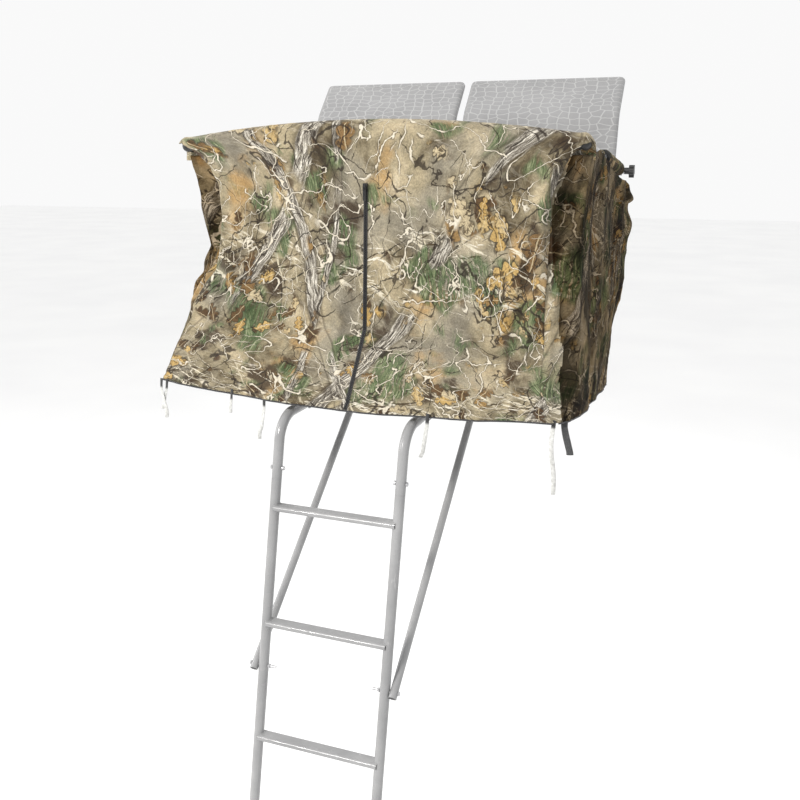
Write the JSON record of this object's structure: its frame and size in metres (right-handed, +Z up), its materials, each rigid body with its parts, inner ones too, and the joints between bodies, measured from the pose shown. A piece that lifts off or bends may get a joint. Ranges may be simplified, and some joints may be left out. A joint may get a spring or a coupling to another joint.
{
  "type": "ladder tree stand",
  "caption": "Two-seat hunting ladder stand with flip-up seats, padded lifting shooting rail and a hanging zip-front blind skirt.",
  "frame": {"origin": "where the trunk bears on the middle of the rear cradle", "axes": "+Z up, +Y from the stand to the trunk, so the ladder is on the -Y side; +X to the right as the ladder is climbed"},
  "size_m": [1.38, 2.2404, 4.0754],
  "materials": {
    "painted_steel": "satin",
    "zinc_steel": "satin",
    "seat_fabric": "matte",
    "camo_cloth": "matte",
    "camo_pad": "matte",
    "black_plastic": "matte",
    "black_webbing": "matte",
    "zip_metal": "satin",
    "tie_ribbon": "matte"
  },
  "bodies": {
    "stand": {"ladder_upper_rails": "painted_steel", "ladder_upper_rungs": "painted_steel", "ladder_lower_rails": "painted_steel", "ladder_lower_rungs": "painted_steel", "ladder_spigots": "zinc_steel", "ladder_joint_bolts": "zinc_steel", "ladder_feet": "painted_steel", "ladder_stubs": "painted_steel", "stub_saddles": "painted_steel", "stub_bolts": "zinc_steel", "brace_left": "painted_steel", "brace_right": "painted_steel", "brace_bolts": "zinc_steel", "brace_nuts": "zinc_steel", "platform_frame": "painted_steel", "deck_grate": "painted_steel", "back_hoop_left": "painted_steel", "back_hoop_right": "painted_steel", "hoop_sockets": "painted_steel", "hoop_bolts": "zinc_steel", "back_sleeve_left": "seat_fabric", "back_sleeve_right": "seat_fabric", "seat_rear_bar": "painted_steel", "seat_bar_brackets": "painted_steel", "seat_front_stand": "painted_steel", "stand_feet": "painted_steel", "stand_screws": "zinc_steel", "tree_cross_bar": "painted_steel", "tree_arms": "painted_steel", "tree_cradle": "painted_steel", "cradle_bolts": "zinc_steel", "pivot_bolts": "zinc_steel", "pivot_washers": "zinc_steel"},
    "shooting_rail": {"rail_crossbar": "painted_steel", "rail_arms": "painted_steel", "rail_corner_fittings": "black_plastic", "corner_screws": "zinc_steel", "rail_pad": "camo_pad", "arm_pad_left": "camo_pad", "arm_pad_right": "camo_pad", "blind_front": "camo_cloth", "blind_side_left": "camo_cloth", "blind_side_right": "camo_cloth", "zip_tape": "black_webbing", "hem_cord": "black_webbing", "tie_left_a": "tie_ribbon", "tie_left_b": "tie_ribbon", "tie_left_c": "tie_ribbon", "tie_left_d": "tie_ribbon", "tie_right_a": "tie_ribbon", "tie_right_b": "tie_ribbon", "strap_right": "black_webbing"},
    "knob_left": {"knob_left": "black_plastic"},
    "knob_right": {"knob_right": "black_plastic"},
    "seat_left": {"seat_frame_left": "painted_steel", "seat_sling_left": "seat_fabric"},
    "seat_right": {"seat_frame_right": "painted_steel", "seat_sling_right": "seat_fabric"},
    "zip_slider": {"zip_slider": "zip_metal"},
    "zip_pull": {"zip_pull": "zip_metal"}
  },
  "joints": [
    {"name": "rail_lift", "type": "hinge", "parent": "stand", "child": "shooting_rail", "pos_m": [0, -0.29138, 0.37655], "axis": [-1, 0, 0], "range_deg": [0, 20]},
    {"name": "knob_left_turn", "type": "hinge", "parent": "stand", "child": "knob_left", "pos_m": [-0.64, -0.29138, 0.37655], "axis": [-1, 0, 0], "continuous": true},
    {"name": "knob_right_turn", "type": "hinge", "parent": "stand", "child": "knob_right", "pos_m": [0.64, -0.29138, 0.37655], "axis": [1, 0, 0], "continuous": true},
    {"name": "seat_left_flip", "type": "hinge", "parent": "stand", "child": "seat_left", "pos_m": [-0.3, -0.38737, 0.133], "axis": [-1, 0, 0], "range_deg": [0, 100]},
    {"name": "seat_right_flip", "type": "hinge", "parent": "stand", "child": "seat_right", "pos_m": [0.3, -0.38737, 0.133], "axis": [-1, 0, 0], "range_deg": [0, 100]},
    {"name": "zip_slide", "type": "slide", "parent": "shooting_rail", "child": "zip_slider", "axis": [0, -0.0489, -0.9988], "range_m": [0, 0.37]},
    {"name": "zip_pull_swing", "type": "hinge", "parent": "zip_slider", "child": "zip_pull", "pos_m": [0, -1.23862, 0.33699], "axis": [-1, 0, 0], "range_deg": [0, 150]}
  ]
}
